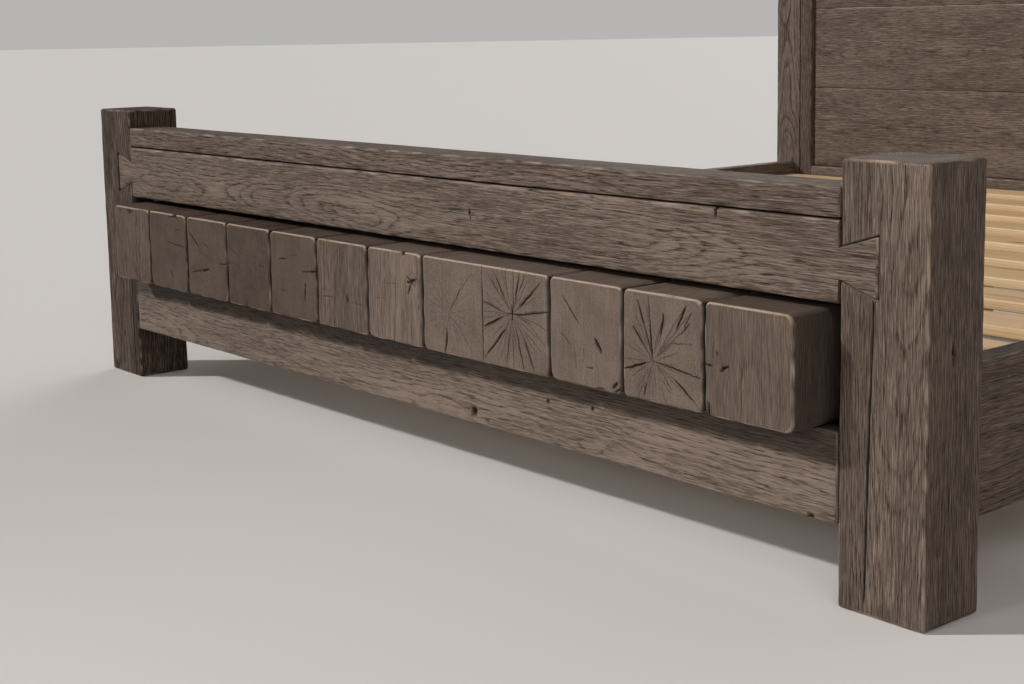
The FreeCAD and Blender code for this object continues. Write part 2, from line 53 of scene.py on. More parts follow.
class Wire:
    def __init__(self, graph, socket):
        self.graph = graph
        self.socket = socket

    def maths(self, operation, first, second=None, third=None):
        values = [value for value in (first, second, third) if value is not None]
        return self.graph.add("ShaderNodeMath", {"operation": operation}, dict(enumerate(values)))

    def __add__(self, other):
        return self.maths("ADD", self, other)

    def __radd__(self, other):
        return self.maths("ADD", other, self)

    def __sub__(self, other):
        return self.maths("SUBTRACT", self, other)

    def __rsub__(self, other):
        return self.maths("SUBTRACT", other, self)

    def __mul__(self, other):
        return self.maths("MULTIPLY", self, other)

    def __rmul__(self, other):
        return self.maths("MULTIPLY", other, self)

    def __truediv__(self, other):
        return self.maths("DIVIDE", self, other)

    def __pow__(self, other):
        return self.maths("POWER", self, other)

    def __rpow__(self, other):
        return self.maths("POWER", other, self)

    def fraction(self):
        return self.maths("FRACT", self)

    def clamped(self):
        settings = {"operation": "ADD", "use_clamp": True}
        return self.graph.add("ShaderNodeMath", settings, {0: self, 1: 0.0})


class Graph:
    def __init__(self, name):
        self.material = bpy.data.materials.new(name)
        self.material.use_nodes = True
        self.tree = self.material.node_tree
        self.tree.nodes.clear()

    def add(self, kind, settings=None, inputs=None, output=0):
        node = self.tree.nodes.new(kind)
        for key, value in (settings or {}).items():
            if key == "stops":
                ramp = node.color_ramp
                while len(ramp.elements) < len(value):
                    ramp.elements.new(0.5)
                for element, (place, colour) in zip(ramp.elements, value):
                    element.position = place
                    shade = colour if isinstance(colour, tuple) else (colour, colour, colour)
                    element.color = (*shade, 1)
            else:
                setattr(node, key, value)
        for key, value in (inputs or {}).items():
            if isinstance(value, Wire):
                self.tree.links.new(value.socket, node.inputs[key])
            else:
                node.inputs[key].default_value = value
        return Wire(self, node.outputs[output])

    def vector(self, first, second, third):
        return self.add("ShaderNodeCombineXYZ", None, {0: first, 1: second, 2: third})

    def noise(self, place, scale=1.0, detail=2.0, roughness=0.5, output=0):
        return self.add("ShaderNodeTexNoise", None,
                        {"Vector": place, "Scale": scale, "Detail": detail, "Roughness": roughness}, output)

    def ramp(self, value, stops):
        return self.add("ShaderNodeValToRGB", {"stops": stops}, {0: value})

    def mix(self, share, first, second):
        settings = {"data_type": "RGBA", "blend_type": "MIX"}
        return self.add("ShaderNodeMix", settings, {0: share, 6: first, 7: second}, 2)

    def finish(self, inputs):
        shader = self.add("ShaderNodeBsdfPrincipled", None, inputs)
        result = self.tree.nodes.new("ShaderNodeOutputMaterial")
        self.tree.links.new(shader.socket, result.inputs[0])
        return self.material


# weathered oak: growth rings round a pith line that runs along the grain, pores, fibres, knots and checks,
# with painted shade darkening cuts, gaps and shaded bands, and pale edges that are partly wear, partly
# painted highlight

# the deep tone is the knot cores' own colour and also the painted shade in cuts, gaps and shaded bands; the
# pale edge tone is partly wear, partly a painted highlight
oakTones = {"dark": (0.021, 0.012, 0.008), "mid": (0.096, 0.070, 0.055), "light": (0.208, 0.160, 0.130),
            "deep": (0.007, 0.004, 0.003), "worn": (0.40, 0.32, 0.26), "rubbed": (0.27, 0.155, 0.09),
            "shine": 0.16, "bumpStrength": 0.7, "bumpDepth": 0.0012}
# how often each pattern repeats, per metre: along the grain, then across it
oakScales = {"sway": (1.7, 4), "ripple": (9, 34), "streak": (12, 620), "fine": (50, 1300), "patch": (3.2, 18),
             "dashes": (38, 820), "flecks": (24, 680), "saw": (420, 20, 16)}
# how much each pattern lightens or darkens the wood
oakShares = {"base": 0.64, "perContrast": 0.04, "patch": 0.80, "early": 0.31, "pores": 0.52, "flecks": 0.40,
             "fine": 0.8, "ripple": 0.005, "blur": 0.45, "knotDark": 0.9, "wearAndHighlightFine": 1.6, "wearAndHighlightBase": 0.9}
oakRelief = {"fine": 0.7, "all": 0.8, "early": 0.30, "pores": 0.55}
oakRough = {"base": 0.62, "pores": 0.18, "early": 0.08, "worn": 0.1}
knotShape = {"stretch": 1.9, "bend": 1.6, "bendFall": -0.16, "coreFall": -2.6}


def axisParts(g, grain):
    # the place along the grain, the two places across it, and all three in the object's own order
    place = g.add("ShaderNodeTexCoord", None, None, 3)
    parts = [g.add("ShaderNodeSeparateXYZ", None, {0: place}, axis) for axis in range(3)]
    order = {"x": (0, 1, 2), "y": (1, 0, 2), "z": (2, 0, 1)}[grain]
    return parts[order[0]], parts[order[1]], parts[order[2]], parts


def oakWood(name, grain, pith, ringWidth, rings=1.0, contrast=1.25, knots=(), seed=0.0, lift=0.0, sway=0.05,
            saw=0.0):
    g = Graph(name)
    along, first, second, parts = axisParts(g, grain)
    u = along + seed
    a = first - pith[0]
    b = second - pith[1]

    def field(key, detail, roughness=0.5, shift=0.0):
        far, near = oakScales[key]
        place = g.vector(u * far + shift if shift else u * far, a * near, b * near)
        return g.noise(place, 1, detail, roughness)

    swayA = field("sway", 2) - 0.5
    swayB = field("sway", 2, shift=7.3) - 0.5
    ripple = field("ripple", 2) - 0.5
    ra = a + swayA * sway + ripple * oakShares["ripple"]
    rb = b + swayB * sway
    phase = (ra * ra + rb * rb) ** 0.5 / ringWidth
    knotDark = None
    for knotAlong, knotAcross, size, crossIndex in knots:
        du = (along - knotAlong) / (size * knotShape["stretch"])
        dc = (parts[crossIndex] - knotAcross) / size
        spread = du * du + dc * dc
        phase = phase + knotShape["bend"] * (math.e ** (spread * knotShape["bendFall"]))
        core = math.e ** (spread * knotShape["coreFall"])
        knotDark = core if knotDark is None else knotDark + core
    streak = field("streak", 3, 0.65) - 0.5
    fine = field("fine", 2, 0.6) - 0.5
    ring = (phase + streak * oakShares["blur"]).fraction()
    early = g.ramp(ring, [(0.0, 0.0), (0.08, 1.0), (0.22, 0.45), (0.42, 0.0), (1.0, 0.0)])
    patch = field("patch", 3, 0.55) - 0.5
    early = early * g.ramp(patch + 0.5, [(0.36, 0.2), (0.60, 1.0)]) * rings
    pores = g.ramp(field("dashes", 2, 0.6), [(0.54, 0.0), (0.60, 1.0)]) * (early * 0.6 + 0.45)
    flecks = g.ramp(field("flecks", 2, 0.6, shift=3.1), [(0.54, 0.0), (0.66, 1.0)])
    value = patch * oakShares["patch"] - early * oakShares["early"] - pores * oakShares["pores"]
    value = value + flecks * oakShares["flecks"] + streak + fine * oakShares["fine"]
    value = value * contrast + oakShares["base"] + contrast * oakShares["perContrast"] + lift
    if saw:
        marks = g.vector(*(part * scale for part, scale in zip(parts, oakScales["saw"])))
        value = value + (g.noise(marks, 1, 2) - 0.5) * saw
    stops = [(0.0, oakTones["dark"]), (0.5, oakTones["mid"]), (1.0, oakTones["light"])]
    colour = g.ramp(value.clamped(), stops)
    # edges turn towards a pale tone: wear, and on the timber ends also a painted highlight along the upper
    # edges
    worn = g.add("ShaderNodeAttribute", {"attribute_name": "worn"}, None, 2)
    redder = g.ramp(patch + 0.5, [(0.56, 0.0), (0.68, 1.0)])
    rub = g.mix(redder, (*oakTones["worn"], 1), (*oakTones["rubbed"], 1))
    wearAndHighlightShare = worn * (fine * oakShares["wearAndHighlightFine"] + oakShares["wearAndHighlightBase"])
    colour = g.mix(wearAndHighlightShare.clamped(), colour, rub)
    # this mask darkens towards the deep tone: painted shade inside cuts, between the blocks and on the bottom
    # rail under them, and partly the posts' darker staves
    check = g.add("ShaderNodeAttribute", {"attribute_name": "check"}, None, 2)
    dark = check if knotDark is None else check + knotDark * oakShares["knotDark"]
    colour = g.mix(dark.clamped(), colour, (*oakTones["deep"], 1))
    height = (streak + fine * oakRelief["fine"]) * oakRelief["all"]
    height = height - early * oakRelief["early"] - pores * oakRelief["pores"]
    relief = {"Strength": oakTones["bumpStrength"], "Distance": oakTones["bumpDepth"], "Height": height}
    rough = oakRough["base"] + pores * oakRough["pores"] + early * oakRough["early"] - worn * oakRough["worn"]
    bump = g.add("ShaderNodeBump", None, relief)
    return g.finish({"Base Color": colour, "Roughness": rough.clamped(), "Normal": bump,
                     "Specular IOR Level": oakTones["shine"]})


# a board or beam as a finely divided box whose edges are eased and worn and whose faces are slightly uneven

def stations(low, high, ease, spacing, dense=()):
    # cuts gather at the eased edges and in the dense stretches, each given as (from, to, spacing)
    first, last = low + ease, high - ease
    inner = max(1, round((last - first) / spacing))
    middle = [first + (last - first) * index / inner for index in range(inner + 1)]
    for start, end, close in dense:
        count = max(1, round((end - start) / close))
        middle = [place for place in middle if place < start - close / 2 or place > end + close / 2]
        middle += [start + (end - start) * index / count for index in range(count + 1)]
    edges = [low] + [low + ease * share for share in (0.25, 0.6)]
    edges += [high - ease * share for share in (0.6, 0.25)] + [high]
    return sorted(edges + [first, last] + [place for place in middle if first < place < last])


def waves(points, seed, size, count=7):
    # a smooth uneven field between about -1 and 1, made of a few sine waves of roughly one size
    rng = random.Random(seed)
    field = np.zeros(len(points))
    for _ in range(count):
        way = np.array([rng.gauss(0, 1) for _ in range(3)])
        way *= 2 * math.pi / (size * rng.uniform(0.6, 1.8) * np.linalg.norm(way))
        field += np.sin(points @ way + rng.uniform(0, 6.28))
    return field / math.sqrt(count)


def slicedBox(name, places):
    bm = bmesh.new()
    bmesh.ops.create_cube(bm, size=1)
    bmesh.ops.translate(bm, verts=bm.verts, vec=(0.5, 0.5, 0.5))
    for axis in range(3):
        edges = [edge for edge in bm.edges if abs((edge.verts[0].co - edge.verts[1].co)[axis]) > 0.5]
        bmesh.ops.subdivide_edges(bm, edges=edges, cuts=len(places[axis]) - 2, use_grid_fill=True)
    for vert in bm.verts:
        vert.co = [places[axis][round(vert.co[axis] * (len(places[axis]) - 1))] for axis in range(3)]
    mesh = bpy.data.meshes.new(name)
    bm.to_mesh(mesh)
    bm.free()
    piece = bpy.data.objects.new(name, mesh)
    scene.collection.objects.link(piece)
    return piece


def readPoints(mesh):
    # the places of a mesh's corners, one row each
    flat = np.zeros(len(mesh.vertices) * 3)
    mesh.vertices.foreach_get("co", flat)
    return flat.reshape(-1, 3)


def writePoints(mesh, points):
    mesh.vertices.foreach_set("co", points.ravel())
    mesh.update()


def readAttribute(mesh, name):
    values = np.zeros(len(mesh.vertices), np.float32)
    mesh.attributes[name].data.foreach_get("value", values)
    return values


def writeAttribute(mesh, name, values):
    layer = mesh.attributes.get(name) or mesh.attributes.new(name, "FLOAT", "POINT")
    layer.data.foreach_set("value", np.asarray(values, np.float32))


def smoothShade(mesh):
    mesh.polygons.foreach_set("use_smooth", [True] * len(mesh.polygons))
    mesh.set_sharp_from_angle(angle=math.radians(beamSizes["sharp"]))


beamSizes = {"dent": 0.05, "swell": 0.16, "ripple": 0.03, "uneven": 0.35 * mm, "wear": 1.0 * mm, "sharp": 40}


def hewnBeam(name, low, high, ease, spacing, seed, uneven=beamSizes["uneven"], wear=beamSizes["wear"],
             dense=((), (), ())):
    low, high = np.array(low, float), np.array(high, float)
    piece = slicedBox(name, [stations(low[i], high[i], ease, spacing[i], dense[i]) for i in range(3)])
    points = readPoints(piece.data)
    inner = np.clip(points, low + ease, high - ease)
    out = (points - inner) / ease
    length = np.linalg.norm(out, axis=1, keepdims=True)
    way = np.where(length > 0, out / np.maximum(length, 1e-9), 0)
    rounded = inner + way * ease
    edge = np.clip(np.sort(np.abs(way), axis=1)[:, 1] * 1.4, 0, 1)   # 1 on an edge, 0 on a flat
    dents = np.clip(waves(points, seed, beamSizes["dent"]) * 0.5 + 0.35, 0, None)
    swells = waves(points, seed + 50, beamSizes["swell"])
    swells = swells + waves(points, seed + 90, beamSizes["ripple"]) * 0.4
    flats = np.clip(swells, -2, 2) * 0.5 - 1
    normal = way / np.maximum(np.linalg.norm(way, axis=1, keepdims=True), 1e-9)
    rounded += normal * (flats * uneven)[:, None] - normal * (edge * dents * wear)[:, None]
    writePoints(piece.data, rounded)
    rubbed = np.clip(0.25 + 0.5 * waves(points, seed + 7, beamSizes["ripple"]), 0, 1)
    writeAttribute(piece.data, "worn", edge * rubbed)
    writeAttribute(piece.data, "check", np.zeros(len(points)))
    smoothShade(piece.data)
    return piece


# the first size and the last two set how dark the inside of a cut is painted, by its depth: painted shade in
# the recess
carveSizes = {"shallow": 2.2, "widen": 1.2, "reach": 6 * mm, "hole": 3, "taper": 0.65, "wobble": 0.5,
              "shadeAndTone": 1.7, "leastShade": 0.3}


def carve(piece, gouges, axis, face, across, up, inward, seed, taper=carveSizes["taper"],
          wobble=carveSizes["wobble"]):
    # each gouge is (x0, up0, x1, up1, width, depth) in millimetres from (across, up), cut into one face
    mesh = piece.data
    points = readPoints(mesh)
    flat = [i for i in range(3) if i != axis]
    near = np.abs(points[:, axis] - face) < carveSizes["reach"]
    plane = (points[:, flat] - np.array([across, up])) / mm
    plane = plane + np.stack([waves(points, seed, 0.02), waves(points, seed + 1, 0.012)], axis=1) * wobble
    cut = np.zeros(len(points))
    dark = np.zeros(len(points))
    for x0, y0, x1, y1, width, depth in gouges:
        start, run = np.array([x0, y0]), np.array([x1 - x0, y1 - y0])
        share = np.clip(((plane - start) @ run) / max(run @ run, 1e-9), 0, 1)
        distance = np.linalg.norm(plane - start - share[:, None] * run, axis=1)
        narrow = taper if run @ run > carveSizes["hole"] ** 2 else 0     # a very short one is a round hole
        belly = np.sin(np.pi * np.clip(share, 0.02, 0.98)) ** 0.6
        half = width / 2 * carveSizes["widen"] * (1 - narrow + narrow * belly)
        inside = np.clip(1 - distance / half, 0, 1)
        cut = np.maximum(cut, inside * depth)
        # the inside of each cut is painted dark, darker the deeper it is: painted shade in the recess
        shadeAndTone = min(1, carveSizes["leastShade"] + depth / carveSizes["shallow"])
        dark = np.maximum(dark, np.clip(inside * carveSizes["shadeAndTone"], 0, 1) * shadeAndTone)
    points[:, axis] += np.where(near, cut * mm * inward, 0)
    writePoints(mesh, points)
    writeAttribute(mesh, "check", np.maximum(readAttribute(mesh, "check"), np.where(near, dark, 0)))


def show(piece, material, slot, *nodes):
    # everything that is remade belongs to the frame
    piece.data.materials.clear()
    piece.data.materials.append(material)
    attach(piece, "frame")
    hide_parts(*nodes)


# timber ends: the checks in each face, in millimetres from the middle of the face, and where its pith lies

timberEnds = {
    1: {"pith": (-4, 10), "knots": [(-6, 64, 9)],
        "checks": [(-16, 67, 4, 66, 5, 1.5)]},
    2: {"pith": (10, -30), "knots": [(14, -4, 6), (7, -39, 5)],
        "checks": [(0, 18, 64, 13, 2.6, 3), (25, 73, 37, 70, 9, 5), (5, 66, 30, 71, 3, 2),
                   (30, 72, 42, 64, 3, 2), (33, 43, 50, 46, 2.2, 1.2), (6, -36, 15, -48, 3, 1.6)]},
    3: {"pith": (20, 20), "knots": [],
        "checks": [(-62, 45, -28, 19, 4, 4), (-11, 31, 8, 21, 2, 1), (-53, -30, 9, -18, 2.6, 3),
                   (-16, -26, 7, -19, 4.2, 4), (48, -5, 74, -3, 3, 3), (-30, 12, 20, 0, 1.4, 0.6)]},
    4: {"pith": (-30, 0), "knots": [(12, -50, 6)],
        "checks": [(-60, 30, -28, 14, 2, 0.8), (-74, 0, -58, 1, 2.4, 2), (-10, -62, -8, -74, 3, 1.5),
                   (32, 6, 62, 7, 1.4, 0.6)]},
    5: {"pith": (10, -10), "knots": [(0, -4, 7)],
        "checks": [(-42, 26, -20, 28, 2.8, 2.4), (30, 11, 74, 14, 2.4, 3), (56, 13, 74, 14, 3.6, 4),
                   (39, -9, 36, -39, 4, 3), (-42, -29, -20, -28, 1.6, 0.9), (20, 40, -10, 34, 1.3, 0.5)]},
    6: {"pith": (0, 90), "knots": [(16, -20, 7)],
        "checks": [(-72, -25, -18, -21, 1.8, 1), (-70, -10, -40, -12, 1.3, 0.5),
                   (30, -24, 72, -25, 1.3, 0.5), (14, -14, 17, -26, 3, 1.2)]},
    7: {"pith": (30, 24), "knots": [(48, 28, 8), (64, -10, 6)],
        "checks": [(20, 74, 30, 70, 5, 3), (36, 26, 61, 34, 4.5, 3), (48, 29, 38, 9, 3.6, 2.4),
                   (34, 37, 56, 24, 3, 2), (-56, -9, -28, -5, 1.5, 0.6), (-30, 19, 12, 22, 1.3, 0.5)]},
    8: {"pith": (-7, -9), "knots": [(-7, -9, 4)],
        "star": {"count": 22, "width": 1.1, "depth": 0.5, "from": 10, "seed": 4},
        "checks": [(-13, -35, -18, -74, 4.2, 5), (10, 15, 22, 30, 2.2, 1.6), (22, 30, 44, 52, 1.5, 0.8),
                   (20, -31, 44, -56, 1.6, 0.8)]},
    9: {"pith": (-6, 9), "knots": [],
        "star": {"count": 26, "width": 1.4, "depth": 0.7, "from": 14, "seed": 2},
        "checks": [(-3, 14, -2, 74, 1.8, 2), (-23, 29, -42, 60, 3, 3), (-36, 36, -56, 58, 2, 1.6),
                   (-16, 40, -20, 70, 1.6, 1.2), (1, 28, 10, 61, 2.6, 3), (10, 42, 24, 68, 2, 1.6),
                   (12, 21, 44, 49, 2.8, 3), (44, 49, 56, 60, 2, 1.6), (3, 9, 26, 11, 3, 3),
                   (24, 12, 74, 21, 2.4, 2.4), (40, 3, 72, -6, 1.5, 1), (-25, 9, -72, 19, 2.2, 2),
                   (-28, 2, -72, -18, 3, 3.4), (-24, -17, -64, -58, 3.4, 4), (-12, -20, -21, -68, 2, 1.6),
                   (-5, -14, -5, -68, 1.5, 1), (2, -12, 18, -68, 2.8, 3), (22, -28, 41, -68, 3.2, 3.4),
                   (18, -10, 50, -32, 1.6, 1), (34, -2, 60, -24, 1.4, 0.8), (-6, 22, -6, -2, 3.4, 3),
                   (-18, 9, 6, 8, 2.4, 2.4), (-40, 4, -60, 30, 1.2, 0.6)]},
    10: {"pith": (8, 8), "knots": [(62, -62, 7)],
        "checks": [(-46, 50, -12, 14, 2.8, 3), (21, -3, 34, -21, 6, 5), (-48, -4, -28, -18, 2, 1),
                   (4, -47, 18, -45, 2.4, 1.4), (-20, -20, -18, -50, 1.6, 0.8),
                   (0, -14, -3, -40, 1.6, 0.8), (56, -66, 66, -58, 6, 2.5), (60, -72, 70, -66, 4, 2),
                   (20, -73, 40, -70, 3, 1.5)]},
    11: {"pith": (-16, -18), "knots": [],
        "star": {"count": 22, "width": 1.4, "depth": 0.7, "from": 16, "seed": 9},
        "checks": [(-45, 60, -32, 30, 3.2, 3), (-32, 30, -18, -8, 2, 1.6), (-54, 25, -33, 1, 3, 3),
                   (-24, 70, -21, 20, 1.8, 1.4), (-21, 24, -17, -14, 3.2, 3), (4, 49, -2, 17, 3.4, 3.4),
                   (45, 64, 29, 32, 3.4, 3.6), (55, 57, 41, 32, 2, 1.4), (53, 42, 39, 28, 2, 1.4),
                   (14, 10, 48, 14, 1.6, 1), (-11, -18, 69, -28, 2.8, 3), (-71, -36, -29, -22, 3.2, 4),
                   (22, -36, 59, -61, 3.4, 4), (4, -34, 15, -48, 1.8, 1.2),
                   (-28, -48, -33, -66, 2.6, 1.6), (-40, 10, -22, -12, 1.6, 1)]},
    12: {"pith": (0, 100), "knots": [(-50, 10, 7), (-40, -8, 6)],
        "checks": [(-74, -7, -58, -8, 3, 3), (-46, -13, -30, -4, 3.4, 3), (-9, 0, -10, -66, 1.6, 0.9),
                   (-66, -56, -64, -74, 4, 2.5), (-56, 24, -58, 4, 2, 1), (52, 10, 54, -60, 1.3, 0.5)]},
}
# two of these sizes set the painted shade on the sides where a block meets its neighbour, and more lightly
# where it meets a post
endSizes = {"corner": 12 * mm, "ease": 3.4 * mm, "easeSide": 5.5 * mm, "shadeAndTone": 0.85, "outerShade": 0.3,
            "spacing": 1.4 * mm, "fine": 0.95 * mm, "deep": 9 * mm, "ringWidth": 3.4 * mm, "wear": 1.6 * mm,
            "uneven": 0.5 * mm, "beyond": 0.05, "swell": 0.12, "ripple": 0.03, "dent": 0.04, "seam": 74.5}
endGrain = {1: "z", 6: "z", 7: "z", 12: "z"}     # the ends whose fibres stand upright
endJoined = {8: 1, 9: -1}                        # two shaped as one, so the edges where they meet stay square
endOuter = {1: 1, 12: -1}                        # the side on which the first and the last meet a neighbour
# how much lighter or darker each end is: partly its own tone, and the left ends are darker as painted shade
# for the dimmer far end of the footboard
endLift = {1: -0.20, 2: -0.28, 3: -0.26, 4: -0.36, 5: -0.24, 6: -0.16, 7: 0.04, 8: 0.02, 9: 0.04, 10: 0.04,
           11: 0.03, 12: -0.10}
endContrast = {12: 0.55}
endWood = {"z": {"rings": 0.8, "contrast": 0.8, "saw": 0.1},
           "y": {"rings": 0.25, "contrast": 0.6, "saw": 0.35}}
hairSizes = {"from": 0.2, "past": 0.25, "inner": (1.5, 0.9), "outer": (1.4, 0.8)}


def starChecks(pith, star):
    # many fine checks that fan out from the pith
    rng = random.Random(star["seed"])
    fan = []
    for number in range(star["count"]):
        angle = 2 * math.pi * (number + rng.uniform(-0.35, 0.35)) / star["count"]
        start, length = star["from"] * rng.uniform(0.7, 2.2), rng.uniform(22, 55)
        x, y = math.cos(angle), math.sin(angle)
        fan.append((pith[0] + x * start, pith[1] + y * start, pith[0] + x * (start + length),
                    pith[1] + y * (start + length), star["width"], star["depth"]))
    return fan


def hairlines(pith, checks):
    # thin cracks that carry each check on towards the pith and a little past its outer end
    fine = []
    for x0, y0, x1, y1, width, depth in checks:
        near, past = hairSizes["from"], hairSizes["past"]
        start = (pith[0] + (x0 - pith[0]) * near, pith[1] + (y0 - pith[1]) * near)
        fine.append((*start, x0, y0, *hairSizes["inner"]))
        fine.append((x1, y1, x1 + (x1 - x0) * past, y1 + (y1 - y0) * past, *hairSizes["outer"]))
    return fine


def timberEnd(name, low, high, spacing, seed, joined, outer):
    # a square end with rounded long corners and an eased front edge; a joined side keeps its edge
    thin, wide, corner = endSizes["ease"], endSizes["easeSide"], endSizes["corner"]
    depth = round((high.y - low.y - wide) / endSizes["deep"])
    deep = [low.y + share * thin for share in (0, 0.3, 0.65, 1)]
    deep += [low.y + wide + (high.y - low.y - wide) * index / depth for index in range(depth + 1)]
    wideCuts, tallCuts = stations(low.x, high.x, wide, spacing), stations(low.z, high.z, thin, spacing)
    piece = slicedBox(name, [wideCuts, deep, tallCuts])
    points = readPoints(piece.data)
    beyond = endSizes["beyond"]
    lowest = np.array([low.x - (beyond if joined < 0 else 0), low.z])
    highest = np.array([high.x + (beyond if joined > 0 else 0), high.z])
    rng = random.Random(seed)
    radii = np.array([[corner * rng.uniform(0.6, 1.25) for _ in range(2)] for _ in range(2)])
    flat = points[:, [0, 2]]
    middle = (lowest + highest) / 2
    radius = radii[(flat[:, 0] > middle[0]).astype(int), (flat[:, 1] > middle[1]).astype(int)][:, None]
    inner = np.clip(flat, lowest + radius, highest - radius)
    out = (flat - inner) / radius
    most = np.abs(out).max(axis=1, keepdims=True)
    way = out / np.maximum(np.linalg.norm(out, axis=1, keepdims=True), 1e-9)
    inset = np.where(most > 0, (1 - most) * radius, 1.0)[:, 0]
    ease = thin + (wide - thin) * np.abs(way[:, 0])
    back = points[:, 1] - low.y
    turning = (inset < ease) & (back < ease)
    turn = np.stack([ease - inset, ease - back], axis=1) / ease[:, None]
    turn /= np.maximum(np.linalg.norm(turn, axis=1, keepdims=True), 1e-9)
    inset = np.where(turning, ease - ease * turn[:, 0], inset)
    back = np.where(turning, ease - ease * turn[:, 1], back)
    placed = np.where(most > 0, inner + way * (radius - inset[:, None]), flat)
    edge = np.where(turning, np.clip(np.minimum(turn[:, 0], turn[:, 1]) * 1.5, 0, 1), 0)
    side = np.where(turning, turn[:, 0], (back > 0.5 * ease).astype(float))
    front = np.where(turning, turn[:, 1], (back < 0.5 * ease).astype(float))
    swells = waves(points, seed + 50, endSizes["swell"]) + waves(points, seed + 90, endSizes["ripple"]) * 0.4
    flats = np.clip(swells, -2, 2) * 0.5 - 1
    dents = np.clip(waves(points, seed, endSizes["dent"]) * 0.5 + 0.3, 0, None)
    push = flats * endSizes["uneven"] - edge * dents * endSizes["wear"]
    push = np.where(points[:, 1] > high.y - 1e-6, 0, push)
    placed = placed + way * (push * side)[:, None]
    writePoints(piece.data, np.stack([placed[:, 0], low.y + back - push * front, placed[:, 1]], axis=1))
    # the eased edges are painted paler, most of all along the top: partly wear, partly a painted highlight
    upward = np.clip(way[:, 1], 0, 1)
    wearAndTopHighlight = np.clip(upward * 1.2 + 0.3 + 0.4 * waves(points, seed + 7, endSizes["ripple"]), 0, 1)
    writeAttribute(piece.data, "worn", np.clip(edge * 1.6, 0, 1) * wearAndTopHighlight)
    # the sides that meet a neighbour are painted dark: painted shade in the gaps between the blocks, lighter
    # on an end that faces a post
    leftShade = endSizes["shadeAndTone"] if outer <= 0 else endSizes["outerShade"]
    rightShade = endSizes["shadeAndTone"] if outer >= 0 else endSizes["outerShade"]
    between = (way[:, 0] < -0.7) * leftShade + (way[:, 0] > 0.7) * rightShade
    writeAttribute(piece.data, "check", np.where(most[:, 0] > 0, between * side, 0))
    smoothShade(piece.data)
    return piece


for number, end in timberEnds.items():
    node = f"timber_block_{number:02d}"
    low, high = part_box(node)
    spacing = endSizes["fine"] if "star" in end else endSizes["spacing"]
    joined = endJoined.get(number, 0)
    name = f"timber_end_{number:02d}"
    piece = timberEnd(name, low, high, spacing, number * 11, joined, endOuter.get(number, 0))
    middleX, middleZ = (low.x + high.x) / 2, (low.z + high.z) / 2
    checks = list(end["checks"])
    if "star" in end:
        checks += starChecks(end["pith"], end["star"]) + hairlines(end["pith"], end["checks"])
    if joined:
        checks.append((joined * endSizes["seam"], -70, joined * endSizes["seam"], 70, 2.0, 1.2))
    carve(piece, checks, 1, low.y, middleX, middleZ, 1, number)
    grain = endGrain.get(number, "y")
    across = middleX + end["pith"][0] * mm
    pith = (across, middleZ + end["pith"][1] * mm)
    knots = ()
    if grain == "z":
        pith = (across, low.y + 0.16)
        knots = [(middleZ + up * mm, middleX + right * mm, size * 0.4 * mm, 0)
                 for right, up, size in end["knots"]]
    kind = endWood[grain]
    wood = oakWood(f"end_oak_{number:02d}", grain, pith, endSizes["ringWidth"], rings=kind["rings"],
                   contrast=endContrast.get(number, kind["contrast"]), knots=knots, seed=number * 1.7,
                   lift=endLift[number], sway=0.03, saw=kind["saw"])
    show(piece, wood, "timber_end_oak", node)
print("timber ends done")


# footboard posts, with the dovetail sockets cut into their faces

postSizes = {"ease": 5 * mm, "spacing": 8 * mm, "mouth": 2.5 * mm, "pithAside": 28 * mm, "pithBack": 75 * mm,
             "ringWidth": 3.4 * mm, "rings": 1.2, "sway": 0.07, "knotBand": (36 * mm, 60 * mm, 1.6 * mm)}
plankSizes = {"gap": 2.0 * mm, "tail": 57 * mm, "neck": 40 * mm, "tailHigh": 77 * mm, "rise": 50 * mm,
              "clear": 1.2 * mm, "shoulder": 1.8 * mm, "drawn": 1.2 * mm, "flush": 0.05 * mm,
              "ease": 4.5 * mm, "spacing": (8 * mm, 9 * mm, 3 * mm), "ringWidth": 2.4 * mm,
              "pithBack": 85 * mm, "pithDrop": 10 * mm, "lift": 0.02}


def socketCutter(name, inner, side, front, thick, middle):
    # a wedge that is wider at its blind end and flares a little at the face
    tail, clear = plankSizes["tail"] + plankSizes["clear"], plankSizes["clear"]
    neck, wide = plankSizes["neck"] / 2 + clear, plankSizes["tailHigh"] / 2 + clear
    bm = bmesh.new()
    bmesh.ops.create_cube(bm, size=2)
    for vert in bm.verts:
        outer = vert.co.x > 0
        flare = postSizes["mouth"] if vert.co.y < 0 else 0
        half = wide if outer else neck - (wide - neck) * 0.1
        x = inner + side * (tail + flare if outer else -0.1 * tail)
        y = front - postSizes["mouth"] if vert.co.y < 0 else front + postSizes["mouth"]
        vert.co = (x, y, middle + math.copysign(half + flare * 2, vert.co.z))
    level = front + postSizes["mouth"]
    back = [face for face in bm.faces if all(abs(vert.co.y - level) < 1e-6 for vert in face.verts)]
    deep = bmesh.ops.extrude_face_region(bm, geom=back)
    moved = [item for item in deep["geom"] if isinstance(item, bmesh.types.BMVert)]
    bmesh.ops.translate(bm, verts=moved, vec=(0, thick - postSizes["mouth"], 0))
    bmesh.ops.delete(bm, geom=back, context="FACES_ONLY")
    bmesh.ops.recalc_face_normals(bm, faces=bm.faces)
    mesh = bpy.data.meshes.new(name)
    bm.to_mesh(mesh)
    bm.free()
    cutter = bpy.data.objects.new(name, mesh)
    scene.collection.objects.link(cutter)
    return cutter


def cutAway(piece, cutter):
    cut = piece.modifiers.new("cut", "BOOLEAN")
    cut.operation = "DIFFERENCE"
    cut.solver = "EXACT"
    cut.object = cutter
    shaped = bpy.data.meshes.new_from_object(piece.evaluated_get(bpy.context.evaluated_depsgraph_get()))
    piece.modifiers.clear()
    piece.data = shaped
    bpy.data.objects.remove(cutter)
    smoothShade(piece.data)


